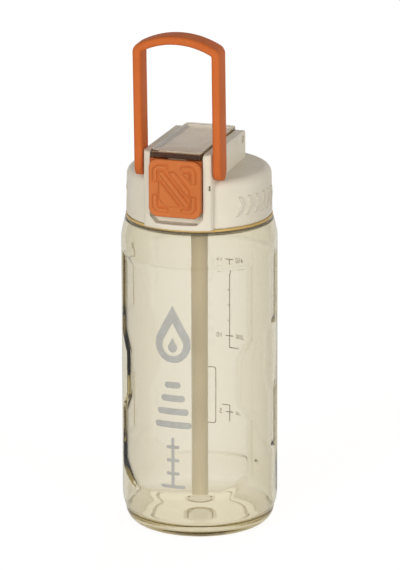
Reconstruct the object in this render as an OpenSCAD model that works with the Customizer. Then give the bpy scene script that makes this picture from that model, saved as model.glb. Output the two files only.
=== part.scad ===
// Flip-lid straw bottle with a carry handle.
// +Z is up, the push button faces -Y, and the origin is the centre of the base.

/* [Bottle] */
// Outer radius of the straight wall
body_r = 37.5; // [34:0.1:42]
// Wall thickness
wall = 2.2; // [1.6:0.1:3]
// Height of the ledge that the lid sits over
ledge_z = 154.2; // [130:0.1:190]
// Outer radius at the top of the shoulder
shoulder_r = 35.1; // [33:0.1:36]
// Height of the tapering shoulder
shoulder_h = 11.2; // [8:0.1:16]
// Radius of the flat foot
foot_r = 28.1; // [24:0.1:31]
// Floor thickness at the foot
floor_t = 4; // [2.5:0.1:6]
// Depth of the recessed grip panels
panel_depth = 0.7; // [0.3:0.05:1]
// Top of the grip panels
panel_top = 135.5; // [110:0.5:140]
// Bottom of the grip panels
panel_bottom = 22; // [18:0.5:40]
// Half width of the panels, as an angle round the axis
panel_angle = 58.7; // [40:0.1:66]
// Half width of the panels at their waist
waist_angle = 47.9; // [30:0.1:50]
// Depth of the narrow flutes at the sides
flute_depth = 0.7; // [0.3:0.05:1]

/* [Neck and thread] */
// Outer radius of the neck
neck_r = 26.9; // [24:0.1:27.5]
// Height of the neck above the ledge
neck_h = 13.5; // [11:0.1:16]
// How far the thread stands out of the neck
thread_depth = 1.2; // [0.8:0.1:1.4]
// Lead of the thread: the rise in one turn
thread_lead = 4; // [3.6:0.1:5]
// Turns of thread on the neck
neck_turns = 1.5; // [1:0.25:1.75]
// Turns of thread in the liner
liner_turns = 1.25; // [1:0.25:1.5]
// Gap between the two threads
thread_gap = 0.3; // [0.2:0.05:0.4]
// Thickness of the neck gasket
gasket_t = 1.8; // [1.2:0.1:2.5]

/* [Lid] */
// Outer radius of the lid at its rim
lid_r = 34.95; // [34:0.05:36]
// How much the skirt draws in towards its top
lid_draft = 0.4; // [0:0.1:1]
// Thickness of the lid's top
top_t = 2.2; // [1.6:0.1:2.6]
// Height of the skirt, from its rim to the flat top
lid_h = 22.8; // [20:0.1:26]
// Gap between the lid's rim and the ledge
rim_gap = 0.3; // [0.2:0.05:0.6]
// Round at the lid's top edge
lid_round = 4; // [1:0.1:5]
// Height of the two cheeks above the lid's top
cheek_h = 14; // [12:0.1:18]
// Half width of the block across the two cheeks
block_half_w = 17.1; // [16.5:0.1:19]
// Where the block ends at the rear
block_rear = 19; // [18:0.1:22]
// Height of each chevron grip mark's relief
chevron_relief = 0.35; // [0.2:0.05:0.6]

/* [Button] */
// Half width of the pocket that the button sits in
pocket_half_w = 13.1; // [12.8:0.1:14]
// Bottom of the pocket above the lid's rim
pocket_sill = 2.5; // [2:0.1:4]
// Side gap round the button
button_gap = 0.3; // [0.2:0.05:0.5]
// Travel of the button
button_travel = 2.2; // [1.5:0.1:2.2]
// Thickness of the pressed pad
pad_t = 2.2; // [1.5:0.1:3]
// How far the carrier plate sits behind the block's bowed front
carrier_setback = 1.2; // [0.8:0.1:2]
// Wall behind the pocket
pocket_wall = 1.4; // [1:0.1:2]
// Thickness of the button's carrier plate
carrier_t = 2.2; // [1.5:0.1:2.4]
// Height of the pad
pad_h = 28; // [24:0.5:29]
// Relief of the pattern on the pad
pad_relief = 0.5; // [0.2:0.05:0.8]
// Radius of the return spring's coil
button_spring_r = 2.6; // [2:0.1:3]
// Wire radius of the return spring
button_wire_r = 0.3; // [0.2:0.05:0.4]

/* [Flip cover] */
// Half width of the cover
cover_half_w = 12.36; // [11.5:0.01:12.5]
// How far the cover's front stays behind the block's front face
cover_setback = 1.2; // [1:0.1:2]
// Rear end of the cover, behind the axis
cover_rear = 19.5; // [18:0.1:21]
// Height of the cover's rim
cover_h = 3.7; // [3:0.1:5]
// How far the cover stands above the cheeks
cover_proud = 1.4; // [0.5:0.1:2]
// Wall thickness of the clear shell
cover_wall = 1.6; // [1.2:0.1:2]
// Radius of the hinge pin
hinge_pin_r = 1; // [0.8:0.05:1.2]
// Wire radius of the opening spring
cover_wire_r = 0.35; // [0.3:0.05:0.4]

/* [Drinking parts] */
// Radius of the straw
straw_r = 4; // [3:0.1:4.5]
// Wall thickness of the straw
straw_wall = 0.9; // [0.6:0.05:1.2]
// Gap between the straw's end and the foot plane
straw_clear = 9; // [6:0.1:20]
// Radius of the spout's tip
spout_r = 5.8; // [5:0.1:6.2]
// Radius of the spout's flange
spout_flange_r = 8; // [7.5:0.1:9]
// Radius of the straw adapter's flange
adapter_flange_r = 10; // [9.5:0.1:12]

/* [Handle] */
// Thickness of the bail, across the bottle
bail_t = 4.1; // [3.5:0.1:4.5]
// Depth of the bail, front to back
bail_depth = 11; // [9:0.1:12]
// Gap between the bail and the cheeks
bail_gap = 0.26; // [0.2:0.02:0.4]
// Rise of the bail's top above its pivot
bail_rise = 64.2; // [58:0.1:70]
// Radius of the bail's arched top
bail_arch_r = 40; // [34:0.5:60]
// Round where the arch meets the legs
bail_corner = 4.5; // [3:0.1:8]
// Pivot behind the block's front face
pivot_setback = 8.8; // [8:0.1:10]
// Radius of the pivot pins
pivot_pin_r = 2; // [1.5:0.1:2.5]
// Forward lean of the bail at rest, in degrees
bail_lean = 2; // [0:0.1:2]

/* [Hidden] */

fine = 96;           // facets that OpenSCAD itself draws on a large circle
small = 32;          // and on a small one
over = 1;            // cutters run this far past the face they open
run_fit = 0.04;      // radial clearance of a running pin
slip = 0.1;          // gap between parts that are pushed together

lid_z = ledge_z + rim_gap;
lid_top = lid_z + lid_h;
cheek_top = lid_top + cheek_h;
cover_top = cheek_top + cover_proud;
cover_z = cover_top - cover_h;
neck_top = ledge_z + neck_h;
deck_z = neck_top + gasket_t;          // underside of the lid's deck
deck_t = 2;
deck_top = deck_z + deck_t;
neck_bore = neck_r - 2;
thread_z = neck_top - 3 - thread_lead * neck_turns;
liner_root = neck_r + thread_depth + thread_gap;
liner_r = liner_root + 2;
channel_half_w = cover_half_w + 0.3;
pocket_back = -(liner_r + slip + pocket_wall);
carrier_back = pocket_back - button_travel - slip;
carrier_front = carrier_back - carrier_t;
block_front_r = carrier_setback - carrier_front;
pocket_z = lid_z + pocket_sill;
hinge_z = cover_z - 1.8;
ear_r = 2.6;                           // round of the hinge ears
liner_gap = 0.1;                       // between the cover's liner and its clear tray
liner_rear = cover_rear - cover_wall - liner_gap;
hinge_y = liner_rear - ear_r;
pivot_z = lid_top + bail_depth / 2 + 0.8;
pivot_y = pivot_setback - block_front_r;
cover_front = block_front_r - cover_setback;
leg_in = block_half_w + bail_gap;
leg_out = leg_in + bail_t;

/* ---------- shared shapes ---------- */

// Points of an arc from angle a to angle b.
function arc(cx, cy, r, a, b, n) = [for (i = [0:n]) let (t = a + (b - a) * i / n)
    [cx + r * cos(t), cy + r * sin(t)]];

// Closed tube of radius r along a list of points, with a fixed reference direction.
module tube(pts, r, sides, ref) {
    n = len(pts);
    function tangent(i) = let (d = pts[min(i + 1, n - 1)] - pts[max(i - 1, 0)]) d / norm(d);
    rings = [for (i = [0:n - 1]) let (t = tangent(i), u0 = cross(ref, t), u = u0 / norm(u0), v = cross(t, u))
        for (k = [0:sides - 1]) pts[i] + r * (cos(360 * k / sides) * u + sin(360 * k / sides) * v)];
    skin = [for (i = [0:n - 2], k = [0:sides - 1]) let (a = i * sides + k, b = i * sides + (k + 1) % sides)
        each [[a, a + sides, b], [b, a + sides, b + sides]]];
    start = [for (k = [1:sides - 2]) [0, k, k + 1]];
    last = (n - 1) * sides;
    end = [for (k = [1:sides - 2]) [last, last + k + 1, last + k]];
    polyhedron(concat(rings), concat(skin, start, end));
}

// Helical ridge of trapezoid section. side is 1 on a neck and -1 in a liner.
module thread_ridge(root_r, crest_r, root_w, crest_w, lead, turns, z0, start_angle) {
    steps = round(turns * 36);
    runout = 4;
    function grow(i) = min(1, min(i, steps - i) / runout);
    rings = [for (i = [0:steps]) let (a = start_angle + 360 * turns * i / steps,
            z = z0 + lead * turns * i / steps,
            c = root_r + (crest_r - root_r) * max(0.05, grow(i)))
        for (p = [[root_r, -root_w / 2], [c, -crest_w / 2], [c, crest_w / 2], [root_r, root_w / 2]])
            [p[0] * cos(a), p[0] * sin(a), z + p[1]]];
    inward = crest_r < root_r;
    faces = [for (i = [0:steps - 1], k = [0:3]) let (a = i * 4 + k, b = i * 4 + (k + 1) % 4)
        each (inward ? [[a, a + 4, b], [b, a + 4, b + 4]] : [[a, b, a + 4], [b, b + 4, a + 4]])];
    e = steps * 4;
    caps = inward ? [[0, 1, 2], [0, 2, 3], [e, e + 2, e + 1], [e, e + 3, e + 2]]
                  : [[0, 2, 1], [0, 3, 2], [e, e + 1, e + 2], [e, e + 2, e + 3]];
    polyhedron(rings, concat(faces, caps));
}

/* ---------- bottle ---------- */

// Outer outline of the wall, from the centre of the base up to the ledge.
foot_draw = 1.5;                       // how far the wall still widens above the foot's round
foot_round = body_r - foot_r - foot_draw;
ease_h = 9.3;                          // height over which it does
function ease(t) = 1 - pow(1 - t, 2.9);
function shoulder_at(r, t) = r - (body_r - shoulder_r) * pow(t, 1.3);
function outer_wall() = concat(
    arc(foot_r, foot_round, foot_round, -90, 0, 10),
    [for (i = [1:6]) [body_r - foot_draw * (1 - ease(i / 6)), foot_round + ease_h * i / 6]],
    [for (i = [0:8]) [shoulder_at(body_r, i / 8), ledge_z - shoulder_h + (shoulder_h - 0.6) * i / 8]],
    [[shoulder_r - 0.2, ledge_z - 0.2], [shoulder_r - 0.6, ledge_z]]);

module wall_profile() {
    inner_r = body_r - wall;
    inner_foot = foot_r - 0.5;
    inner_round = inner_r - inner_foot;
    neck_foot = 1.5;
    polygon(concat(
        [[0, 0]],
        outer_wall(),
        arc(neck_r + neck_foot, ledge_z + neck_foot, neck_foot, 270, 180, 6),
        [[neck_r, neck_top - 0.4], [neck_r - 0.4, neck_top], [neck_bore + 0.3, neck_top],
         [neck_bore, neck_top - 0.3], [neck_bore, ledge_z - 0.5]],
        arc(neck_bore + 1.5, ledge_z - 0.5, 1.5, 180, 270, 5),
        [[shoulder_r - wall - 2, ledge_z - 2.0]],
        [for (i = [8:-1:0]) [shoulder_at(inner_r, i / 8), ledge_z - shoulder_h - 1 + (shoulder_h - 2.4) * i / 8]],
        [[inner_r, foot_round + ease_h]],
        arc(inner_foot, floor_t + inner_round, inner_round, 0, -90, 10),
        [[0, floor_t]]));
}

// Outline of a grip panel, seen from the front: wide, waisted, wide, with cut lower corners.
panel_foot_angle = 36;                 // half width at the panel's lower edge, as an angle
waist_z = [58.5, 67, 89, 98];          // where the waist starts, is full, ends, and is gone
flute_w = 10.4;
flute_z = [[41, 71], [103, 137]];      // lower and upper flute, from bottom to top

module panel_outline() {
    wide = body_r * sin(panel_angle);
    waist = body_r * sin(waist_angle);
    foot = body_r * sin(panel_foot_angle);
    half = [[foot, panel_bottom], [wide, panel_bottom + 10], [wide, waist_z[0]], [waist, waist_z[1]],
            [waist, waist_z[2]], [wide, waist_z[3]], [wide, panel_top]];
    polygon(concat(half, [for (i = [len(half) - 1:-1:0]) [-half[i][0], half[i][1]]]));
}

// Panel recesses, front and back, and the narrow flutes at the two sides.
module wall_recesses() {
    difference() {
        for (turn = [0, 180]) rotate([0, 0, turn])
            rotate([90, 0, 0]) linear_extrude(body_r + over) panel_outline();
        translate([0, 0, panel_bottom - over])
            cylinder(r = body_r - panel_depth, h = panel_top - panel_bottom + 2 * over, $fn = fine);
    }
    difference() {
        for (turn = [90, 270], span = flute_z) rotate([0, 0, turn])
            translate([-flute_w / 2, -body_r - over, span[0]])
                cube([flute_w, over + flute_w / 2, span[1] - span[0]]);
        translate([0, 0, flute_z[0][0] - over])
            cylinder(r = body_r - flute_depth, h = flute_z[1][1] - flute_z[0][0] + 2 * over, $fn = fine);
    }
}

module bottle_body() color([0.86, 0.8, 0.66, 0.5]) {
    difference() {
        rotate_extrude($fn = fine) wall_profile();
        wall_recesses();
        // Gate dimple and a shallow ring in the foot
        translate([0, 0, -over]) cylinder(r = 6, h = over + 0.8, $fn = fine);
        translate([0, 0, -over]) difference() {
            cylinder(r = foot_r - 4.6, h = over + 0.6, $fn = fine);
            cylinder(r = foot_r - 5.8, h = over + 0.7, $fn = fine);
        }
    }
    thread_ridge(neck_r - 0.2, neck_r + thread_depth, 1.9, 0.9, thread_lead, neck_turns, thread_z, 0);
}

module neck_gasket() color("whitesmoke")
    translate([0, 0, neck_top]) difference() {
        cylinder(r = neck_r + 0.8, h = gasket_t, $fn = fine);
        translate([0, 0, -over]) cylinder(r = neck_bore + 0.3, h = gasket_t + 2 * over, $fn = fine);
    }

/* ---------- lid ---------- */

// Plan of the block: two flat sides and a bowed front with eased corners.
module block_plan(half_w, front_r, rear) {
    ease_r = 2;
    corner = asin((half_w - ease_r) / front_r);
    front = [for (i = [-8:8]) let (a = i / 8 * corner) [front_r * sin(a), -front_r * cos(a)]];
    side_y = -front_r * cos(corner) + ease_r + 0.3;
    polygon(concat([[-half_w, rear], [-half_w, side_y], [-half_w + 0.6, side_y - 1.4]], front,
                   [[half_w - 0.6, side_y - 1.4], [half_w, side_y], [half_w, rear]]));
}

// Side view of the block: rounded at the top in front and behind. Below the pocket it reaches past the bow.
module block_side() {
    front_round = 2.2;
    rear_round = 2.5;
    cheek_front = sqrt(pow(block_front_r, 2) - pow(pocket_half_w, 2)) + 0.05;
    step_z = pocket_z + 5;
    polygon(concat([[-block_front_r - over, lid_z - over], [block_rear, lid_z - over]],
                   arc(block_rear - rear_round, cheek_top - rear_round, rear_round, 0, 90, 8),
                   arc(front_round - cheek_front, cheek_top - front_round, front_round, 90, 180, 8),
                   [[-cheek_front, step_z], [-block_front_r - over, step_z]]));
}

module block() intersection() {
    translate([0, 0, lid_z]) linear_extrude(lid_h + cheek_h + over)
        block_plan(block_half_w, block_front_r, block_rear + over);
    translate([-block_half_w - over, 0, 0]) rotate([90, 0, 90]) linear_extrude(2 * (block_half_w + over))
        block_side();
}

module skirt_profile(r, top_r, height, round_r) {
    polygon(concat([[0, 0], [r - 0.4, 0], [r, 0.4]],
                   arc(top_r - round_r, height - round_r, round_r, 0, 90, 10), [[0, height]]));
}

// Six chevrons on each side, pointing the way that the lid unscrews.
module chevrons() {
    for (side = [0, 180], i = [0:5]) rotate([0, 0, side + 54 + 9 * i])
        translate([0, -lid_r + 0.6, lid_z + 10.3]) rotate([90, 0, 0])
            linear_extrude(0.6 + chevron_relief)
                polygon([[-2.3, 4], [-1.2, 4], [0.9, 0], [-3.1, -5.2], [-4.2, -5.2], [-0.4, 0]]);
}

// The space that the button and its hook move in.
module button_pocket() {
    front = -block_front_r - over;
    cut = 3;
    translate([0, pocket_back, 0]) rotate([90, 0, 0]) linear_extrude(pocket_back - front)
        polygon([[-pocket_half_w + cut, pocket_z], [pocket_half_w - cut, pocket_z],
                 [pocket_half_w, pocket_z + cut], [pocket_half_w, cheek_top + over],
                 [-pocket_half_w, cheek_top + over], [-pocket_half_w, pocket_z + cut]]);
}

spring_axis_z = deck_top + 5.5;        // height of the return spring's axis
seat_y = pocket_back + 6.3;            // face that the return spring pushes on
rear_wall_t = 1.9;
rear_wall_top = hinge_z - 6.6;
vent_y = 12.4;
hinge_hole_r = 1.7;                    // open hole that the hinge pin is pushed in through
hinge_hole_t = 1.5;
spout_hole_r = 6.2;

module lid_body() color([0.87, 0.83, 0.75]) {
    difference() {
        union() {
            translate([0, 0, lid_z]) rotate_extrude($fn = fine) skirt_profile(lid_r, lid_r - lid_draft, lid_h, lid_round);
            block();
            chevrons();
        }
        // Room for the neck and the liner
        translate([0, 0, lid_z - over]) cylinder(r = liner_r + slip, h = deck_z - lid_z + over, $fn = fine);
        // Hollows on both sides of the channel, open below
        intersection() {
            translate([0, 0, deck_z - over])
                cylinder(r = neck_bore - 0.6, h = lid_top - top_t - deck_z + over, $fn = fine);
            for (side = [-1, 1]) translate([side * (channel_half_w + 2 + 10) - 10, -neck_r, deck_z - over])
                cube([20, 2 * neck_r, lid_h]);
        }
        // Channel between the cheeks
        translate([-channel_half_w, pocket_back - 0.6, deck_top])
            cube([2 * channel_half_w, block_rear - rear_wall_t - pocket_back + 0.6, cheek_top]);
        translate([-channel_half_w, 0, rear_wall_top])
            cube([2 * channel_half_w, block_rear + over, cheek_top]);
        button_pocket();
        // Spout and vent holes in the deck
        translate([0, 0, deck_z - over]) cylinder(r = spout_hole_r, h = deck_t + 2 * over, $fn = fine);
        translate([0, vent_y, deck_z - over]) cylinder(r = 1.5, h = deck_t + 2 * over, $fn = small);
        // Bores for the hinge pin and the two pivot pins
        translate([-block_half_w + hinge_hole_t - over, hinge_y, hinge_z]) rotate([0, 90, 0])
            cylinder(r = hinge_pin_r + slip / 4, h = 2 * (block_half_w - hinge_hole_t + over), $fn = small);
        for (side = [-1, 1]) translate([side * (block_half_w + over), hinge_y, hinge_z])
            rotate([0, -90 * side, 0]) cylinder(r = hinge_hole_r, h = hinge_hole_t + over, $fn = small);
        for (side = [-1, 1]) translate([side * (block_half_w + over), pivot_y, pivot_z])
            rotate([0, -90 * side, 0]) cylinder(r = pivot_pin_r + run_fit, h = 3.6 + over, $fn = small);
        // Drain slot at the front corner
        translate([block_half_w - 1.5, -block_front_r, lid_z + 19.4]) cube([0.7, 6, 2.4]);
    }
    // Post that the button's return spring pushes on
    translate([-4, seat_y, deck_top]) cube([8, 2, spring_axis_z + 3 - deck_top]);
    translate([0, seat_y + 0.5, spring_axis_z]) rotate([90, 0, 0]) cylinder(r = 1.5, h = 2.2, $fn = small);
}

liner_z = ledge_z + 1.8;

module thread_liner() color([0.8, 0.77, 0.7]) {
    translate([0, 0, liner_z]) difference() {
        cylinder(r = liner_r, h = deck_z - liner_z, $fn = fine);
        translate([0, 0, -over]) cylinder(r = liner_root, h = deck_z - liner_z + 2 * over, $fn = fine);
    }
    // Half a turn round from the neck's thread, so its ridge runs midway between the neck's
    thread_ridge(liner_root + 0.25, neck_r + thread_gap, 1.5, 0.6, thread_lead, liner_turns, thread_z, 180);
}

/* ---------- drinking parts ---------- */

socket_z = 155;                        // lower end of the straw adapter
spigot_top = deck_top + 4.5;
straw_top = deck_z - 3;
flange_t = 2.1;
ring_r = 0.7;                          // section radius of the adapter's ring
ring_at = 7.3;

module straw_adapter() color([0.8, 0.77, 0.7]) rotate_extrude($fn = fine) difference() {
    union() {
        translate([straw_r - 1, socket_z]) square([2.2, deck_z - socket_z]);
        translate([straw_r - 1, deck_z - flange_t]) square([adapter_flange_r - straw_r, flange_t]);
        translate([straw_r - 1.1, deck_z - flange_t]) square([0.95, spigot_top - deck_z + flange_t]);
    }
    translate([0, socket_z - over]) square([straw_r + run_fit, straw_top - socket_z + over]);
    translate([ring_at - ring_r - 0.1, deck_z - 2 * ring_r])
        square([2 * ring_r + 0.2, 2 * ring_r + over]);
}

module adapter_o_ring() color([0.75, 0.35, 0.2])
    translate([0, 0, deck_z - ring_r]) rotate_extrude($fn = fine)
        translate([ring_at, 0]) circle(r = ring_r, $fn = small);

module straw() color([0.8, 0.76, 0.68, 0.8])
    translate([0, 0, straw_clear]) difference() {
        cylinder(r = straw_r, h = straw_top - straw_clear, $fn = fine);
        translate([0, 0, -over])
            cylinder(r = straw_r - straw_wall, h = straw_top - straw_clear + 2 * over, $fn = fine);
    }

spout_bore = straw_r - 0.1;
spout_top = cover_z - 0.4 - 1.2;
spout_flange_t = 1.5;
collar_r = spout_flange_r + 1.6;
collar_h = spout_flange_t + 1.1;

// Soft bite spout: a flange on the deck, a waist, and a rounded tip round a small hole.
module spout() color([0.93, 0.9, 0.84]) rotate_extrude($fn = fine)
    polygon(concat(
        [[spout_bore, deck_z], [spout_hole_r - slip, deck_z], [spout_hole_r - slip, deck_top],
         [spout_flange_r, deck_top], [spout_flange_r, deck_top + spout_flange_t], [spout_r + 0.5, deck_top + spout_flange_t],
         [spout_r - 0.4, deck_top + 6], [spout_r - 0.4, spout_top - 5]],
        arc(spout_r - 2, spout_top - 2, 2, 0, 90, 6),
        [[2.6, spout_top], [2.6, spout_top - 2.5], [spout_bore, spout_top - 4.5]]));

module spout_collar() color([0.8, 0.77, 0.7])
    translate([0, 0, deck_top]) rotate_extrude($fn = fine)
        polygon([[spout_flange_r + slip, 0], [collar_r, 0], [collar_r, collar_h], [spout_r + 1, collar_h],
                 [spout_r + 1, spout_flange_t], [spout_flange_r + slip, spout_flange_t]]);

module vent_valve() color([0.93, 0.9, 0.84])
    translate([0, vent_y, deck_z]) rotate_extrude($fn = small)
        polygon([[0, -1.6], [1.4, -1.6], [2.3, 0], [1.4, 0], [1.4, deck_t], [2.8, deck_t],
                 [2.6, deck_t + 0.7], [0, deck_t + 1]]);

/* ---------- flip cover ---------- */

plate_t = 1.5;
liner_half_w = cover_half_w - cover_wall - liner_gap;
liner_front = -cover_front + cover_wall + liner_gap;
liner_top = cover_top - plate_t;

// Clear tray: a top plate with a rim on all four sides.
module cover_shell() color([0.72, 0.55, 0.25, 0.5]) difference() {
    translate([-cover_half_w, -cover_front, cover_z])
        cube([2 * cover_half_w, cover_front + cover_rear, cover_h]);
    translate([-cover_half_w + cover_wall, -cover_front + cover_wall, cover_z - over])
        cube([2 * (cover_half_w - cover_wall), cover_front + cover_rear - 2 * cover_wall,
              cover_h - plate_t + over]);
}

ear_t = 2;
tab_y = -cover_front + 2.6;
tab_t = 1.4;
tab_half_w = 4.5;
ledge_out = 1.2;
tab_drop = 4.6;

// Opaque plate under the clear tray, with the latch tab, the hinge ears and the plug's boss.
module cover_liner() color([0.84, 0.8, 0.72]) difference() {
    union() {
        translate([-liner_half_w, liner_front, cover_z])
            cube([2 * liner_half_w, liner_rear - liner_front, liner_top - cover_z]);
        translate([-tab_half_w, tab_y, cover_z - tab_drop]) cube([2 * tab_half_w, tab_t, tab_drop + 1]);
        translate([-tab_half_w, tab_y + tab_t - 0.2, cover_z - tab_drop])
            cube([2 * tab_half_w, ledge_out + 0.2, 1.2]);
        for (side = [-1, 1]) translate([side * (liner_half_w - ear_t / 2) - ear_t / 2, hinge_y, hinge_z])
            rotate([0, 90, 0]) {
                cylinder(r = ear_r, h = ear_t, $fn = fine);
                translate([-ear_r - 0.5, -ear_r, 0]) cube([ear_r + 0.5, 2 * ear_r, ear_t]);
            }
    }
    // Stepped recess that shows through the tray
    translate([-liner_half_w + 2.6, liner_front + 3.2, liner_top - 0.7])
        cube([2 * liner_half_w - 5.2, liner_rear - liner_front - 12, 0.7 + over]);
    translate([-liner_half_w - over, hinge_y, hinge_z]) rotate([0, 90, 0])
        cylinder(r = hinge_pin_r + run_fit, h = 2 * (liner_half_w + over), $fn = small);
    translate([-liner_half_w + ear_t, hinge_y - 3.1, cover_z - over])
        cube([2 * (liner_half_w - ear_t), 4.9, over + 1.1]);
}

// Soft plug that closes the spout.
module spout_plug() color([0.93, 0.9, 0.84]) rotate_extrude($fn = fine)
    polygon([[0, cover_z], [7, cover_z], [7, spout_top + 0.3], [6.7, spout_top], [1.9, spout_top],
             [1.6, spout_top - 0.9], [0, spout_top - 0.9]]);

module cover_hinge_pin() color("silver")
    translate([-block_half_w + hinge_hole_t, hinge_y, hinge_z]) rotate([0, 90, 0])
        cylinder(r = hinge_pin_r, h = 2 * (block_half_w - hinge_hole_t), $fn = small);

// Torsion spring round the hinge pin: coil, a leg under the liner and a short leg to the rear.
module cover_spring() color("silver") {
    coil_r = hinge_pin_r + cover_wire_r + 0.35;
    turns = 5;
    pitch = 3 * cover_wire_r;
    steps = turns * 12 + 3;
    x0 = -turns * pitch / 2;
    coil = [for (i = [0:steps]) let (a = 30 * i)
        [x0 + pitch * i / 12, hinge_y - coil_r * sin(a), hinge_z + coil_r * cos(a)]];
    last = coil[steps];
    tube(concat([for (d = [9, 6, 3]) [x0 - 0.05 * d, hinge_y + 0.3 * d, coil[0][2] - 0.05 * d]],
        coil, [for (d = [2, 5, 8]) [last[0] + 0.02 * d, last[1] - 0.02 * d, last[2] + 0.09 * d]]),
        cover_wire_r, 6, [1, 0, 0.01]);
}

/* ---------- button ---------- */

pad_top = cover_z - 0.4;
pad_half_w = pocket_half_w - 0.2;
carrier_half_w = pocket_half_w - button_gap;
bar_y = tab_y + tab_t + ledge_out + 0.3;
bar_t = 1.5;

// Plate behind the pad, notched for the cover's tab, with two arms that carry the hook bar.
module latch_button() color([0.82, 0.42, 0.2]) {
    cut = 3;
    foot = pad_top - pad_h - 0.2;
    notch_w = tab_half_w + 0.7;
    notch_z = cover_z - tab_drop - 0.6;
    translate([0, carrier_back, 0]) rotate([90, 0, 0]) linear_extrude(carrier_t)
        polygon([[-carrier_half_w + cut, foot], [carrier_half_w - cut, foot],
                 [carrier_half_w, foot + cut], [carrier_half_w, pad_top],
                 [notch_w, pad_top], [notch_w, notch_z], [-notch_w, notch_z], [-notch_w, pad_top],
                 [-carrier_half_w, pad_top], [-carrier_half_w, foot + cut]]);
    arm_w = 2.4;
    arm_out = tab_half_w + 0.9 + arm_w;
    hook_z = notch_z - 0.4;
    hook_h = tab_drop - 1;
    for (side = [0, 1]) mirror([side, 0]) translate([arm_out - arm_w, carrier_back, hook_z])
        cube([arm_w, bar_y + bar_t - carrier_back, hook_h]);
    translate([-arm_out, bar_y, hook_z]) cube([2 * arm_out, bar_t, hook_h]);
    translate([0, carrier_back + 1.6, spring_axis_z]) rotate([90, 0, 0]) cylinder(r = 1.5, h = 1.8, $fn = small);
}

// One embossed corner bracket of the pad, in the pad's own plane.
module bracket(half_w, half_h) {
    arm_w = 1.7;
    reach_x = 6.6;
    reach_y = 8;
    cut = 2;
    polygon([[half_w - reach_x, half_h], [half_w - cut, half_h], [half_w, half_h - cut],
             [half_w, half_h - reach_y], [half_w - arm_w, half_h - reach_y],
             [half_w - arm_w, half_h - cut - 0.5], [half_w - cut - 0.5, half_h - arm_w],
             [half_w - reach_x, half_h - arm_w]]);
}

// Slanting grip ribs inside the brackets, clipped to a rectangle.
module slant_ribs(half_w, half_h) intersection() {
    square([2 * half_w, 2 * half_h], center = true);
    for (i = [-2:2]) rotate(50) translate([-20, i * 4.3 - (abs(i) == 2 ? 0 : 1)])
        square([40, abs(i) == 2 ? 4.5 : 2]);
}

module button_pad() color([0.85, 0.44, 0.21]) {
    cut = 3;
    w = pad_half_w;
    foot = pad_top - pad_h;
    translate([0, carrier_front, 0]) rotate([90, 0, 0]) linear_extrude(pad_t)
        polygon([[-w + cut, foot], [w - cut, foot], [w, foot + cut], [w, pad_top - cut],
                 [w - cut, pad_top], [-w + cut, pad_top], [-w, pad_top - cut], [-w, foot + cut]]);
    translate([0, carrier_front - pad_t + 0.1, pad_top - pad_h / 2]) rotate([90, 0, 0])
        linear_extrude(pad_relief + 0.1) {
            for (mx = [0, 1], my = [0, 1]) mirror([mx, 0]) mirror([0, my]) bracket(w - 2.6, pad_h / 2 - 2.8);
            mirror([1, 0]) slant_ribs(w - 5.6, pad_h / 2 - 5.8);
        }
}

button_spring_turns = 5;

// Return spring between the button's plate and the post in the lid.
module button_spring() color("silver") {
    from = carrier_back + button_wire_r;
    to = seat_y - button_wire_r;
    coil_r = button_spring_r - button_wire_r;
    steps = button_spring_turns * 12;
    tube([for (i = [0:steps]) [coil_r * cos(30 * i), from + (to - from) * i / steps,
                               spring_axis_z + coil_r * sin(30 * i)]],
         button_wire_r, 6, [0, 1, 0.01]);
}

/* ---------- handle ---------- */

// Outline of the bail inside or outside: round feet, straight legs and an arched top.
function arch_top(half_w, arch_r, top, corner) = let (
        cx = half_w - corner, cy = top - arch_r,
        y = cy + sqrt(pow(arch_r - corner, 2) - cx * cx),
        a = atan2(y - cy, cx))
    concat(arc(cx, y, corner, 0, a, 6), arc(0, cy, arch_r, a, 180 - a, 24),
           arc(-cx, y, corner, 180 - a, 180, 6));

module bail_side(half_w, arch_r, top, corner, foot)
    polygon(concat([[-half_w, foot], [half_w, foot]], arch_top(half_w, arch_r, top, corner)));

module bail_handle() color([0.83, 0.41, 0.18])
    translate([0, pivot_y, pivot_z]) rotate([bail_lean, 0, 0]) difference() {
        intersection() {
            rotate([90, 0, 0]) translate([0, 0, -bail_depth / 2]) linear_extrude(bail_depth) difference() {
                bail_side(leg_out, bail_arch_r, bail_rise, bail_corner, -bail_depth / 2);
                bail_side(leg_in, bail_arch_r - bail_t, bail_rise - bail_t, 1, -bail_depth);
            }
            union() {
                rotate([0, 90, 0]) translate([0, 0, -leg_out - over])
                    cylinder(r = bail_depth / 2, h = 2 * (leg_out + over), $fn = fine);
                translate([-leg_out - over, -bail_depth / 2, 0])
                    cube([2 * (leg_out + over), bail_depth, bail_rise + over]);
            }
        }
        for (side = [-1, 1]) translate([side * (leg_in - over), 0, 0]) rotate([0, 90 * side, 0])
            cylinder(r = pivot_pin_r + slip / 4, h = bail_t - 1.2 + over, $fn = small);
    }

module pivot_pin(side) translate([side * (block_half_w - 3.4), pivot_y, pivot_z])
    rotate([0, 90 * side, 0]) cylinder(r = pivot_pin_r, h = 3.4 + bail_gap + bail_t - 1.3, $fn = small);

module handle_pin_left() color("silver") pivot_pin(-1);
module handle_pin_right() color("silver") pivot_pin(1);

bottle_body();
neck_gasket();
lid_body();
thread_liner();
straw_adapter();
adapter_o_ring();
straw();
spout();
spout_collar();
vent_valve();
cover_shell();
cover_liner();
spout_plug();
cover_hinge_pin();
cover_spring();
latch_button();
button_pad();
button_spring();
bail_handle();
handle_pin_left();
handle_pin_right();
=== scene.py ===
"""Looks of the flip-lid straw bottle: clear tinted wall, ivory lid, orange button and handle."""

import math

import bmesh
import bpy
import numpy as np
from mathutils import Matrix, Vector


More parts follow.
